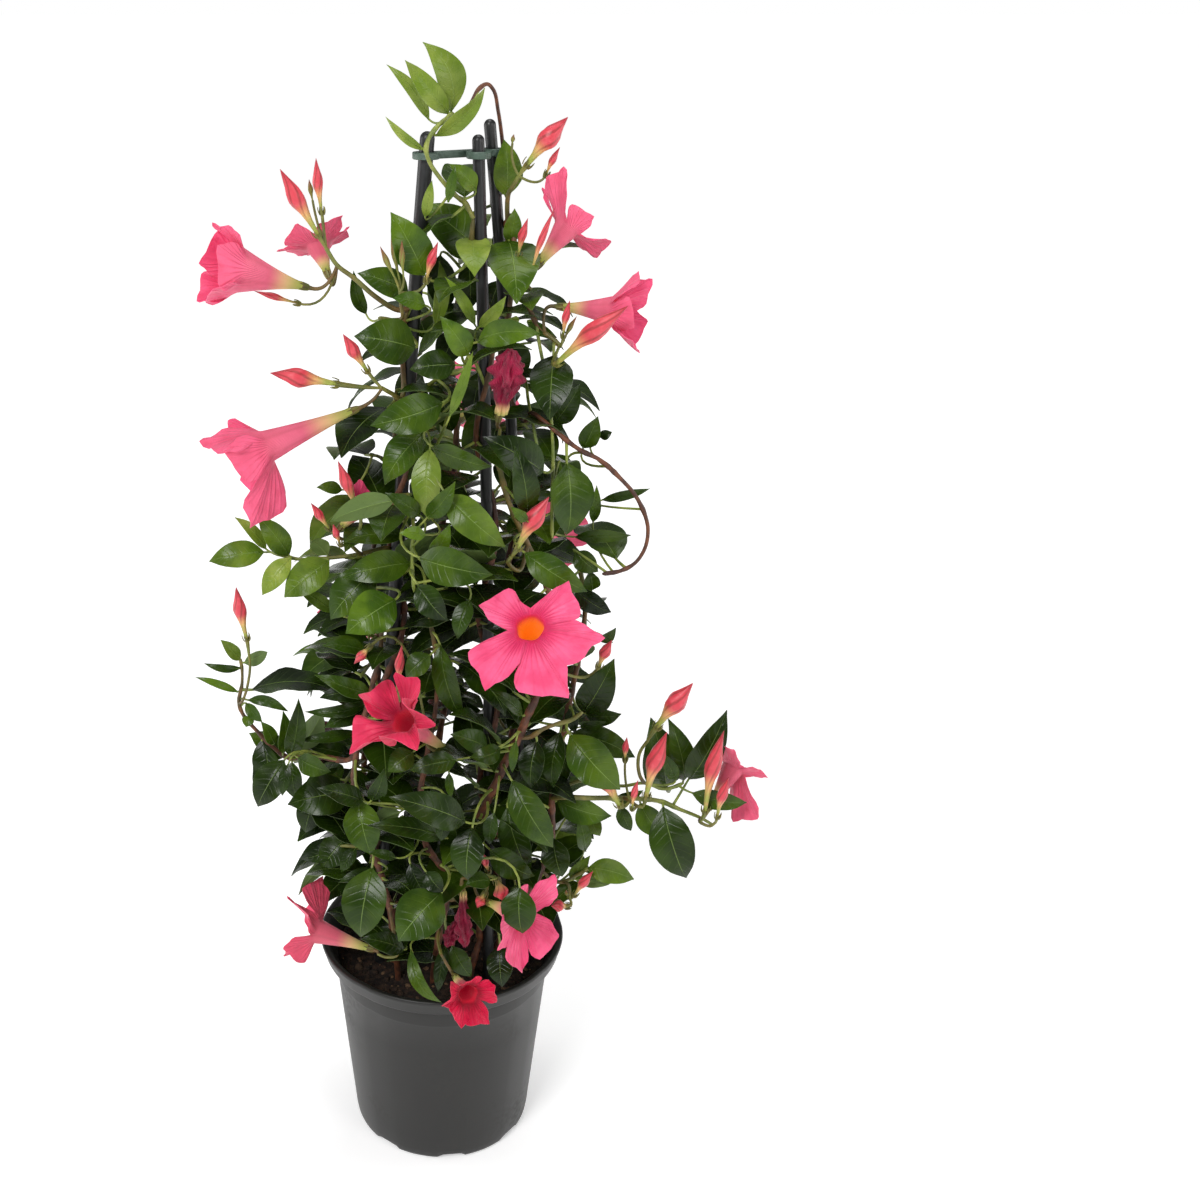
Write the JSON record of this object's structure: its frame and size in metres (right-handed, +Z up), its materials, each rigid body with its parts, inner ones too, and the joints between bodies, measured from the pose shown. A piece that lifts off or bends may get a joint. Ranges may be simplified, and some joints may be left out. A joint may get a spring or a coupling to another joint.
{
  "type": "potted climbing mandevilla",
  "caption": "Flowering mandevilla vine with pink trumpet blooms, trained up three plastic canes joined by a clip, planted in a dark nursery pot.",
  "frame": {"origin": "middle of the flat underside of the nursery pot", "axes": "+Z up; -Y towards the viewer who sees the fullest side; +X to that viewer's right, the side of the long flowering branch"},
  "size_m": [0.3618, 0.2881, 0.7332],
  "materials": {
    "pot_plastic": "dark grey moulded plastic, soft sheen, glossier on the lip",
    "soil": null,
    "cane_plastic": "black plastic-coated cane with a rounded top",
    "clip_plastic": "grey-green moulded plastic clip",
    "foliage": null,
    "bud_spray": null,
    "petals": null
  },
  "bodies": {
    "root": {"bloom_behind_left": "petals", "bloom_branch": "petals", "bloom_foot_front": "petals", "bloom_foot_left": "petals", "bloom_foot_right": "petals", "bloom_front": "petals", "bloom_hidden": "petals", "bloom_middle_left": "petals", "bloom_rear_high": "petals", "bloom_rear_left": "petals", "bloom_rear_right": "petals", "bloom_right": "petals", "bloom_star": "petals", "bloom_upper_left": "petals", "bloom_upper_right": "petals", "bloom_wilted_centre": "petals", "bloom_wilted_foot": "petals", "bloom_wilted_low": "petals", "cane_back": "cane_plastic", "cane_front": "cane_plastic", "cane_left": "cane_plastic", "clip": "clip_plastic", "pot": "pot_plastic", "soil": "soil", "spray_branch_end": "bud_spray", "spray_branch_far": "bud_spray", "spray_branch_near": "bud_spray", "spray_centre": "bud_spray", "spray_centre_top": "bud_spray", "spray_far_left": "bud_spray", "spray_foot_front": "bud_spray", "spray_foot_left": "bud_spray", "spray_foot_low": "bud_spray", "spray_foot_right": "bud_spray", "spray_front": "bud_spray", "spray_left_low": "bud_spray", "spray_left_mid": "bud_spray", "spray_left_top": "bud_spray", "spray_middle": "bud_spray", "spray_rear_high": "bud_spray", "spray_rear_left": "bud_spray", "spray_rear_right": "bud_spray", "spray_right": "bud_spray", "spray_right_upper": "bud_spray", "spray_star": "bud_spray", "spray_top_right": "bud_spray", "vine_back": "foliage", "vine_centre": "foliage", "vine_front": "foliage", "vine_left": "foliage", "vine_low_front": "foliage", "vine_low_left": "foliage", "vine_low_right": "foliage", "vine_rear": "foliage", "vine_rear_left": "foliage"}
  },
  "joints": []
}
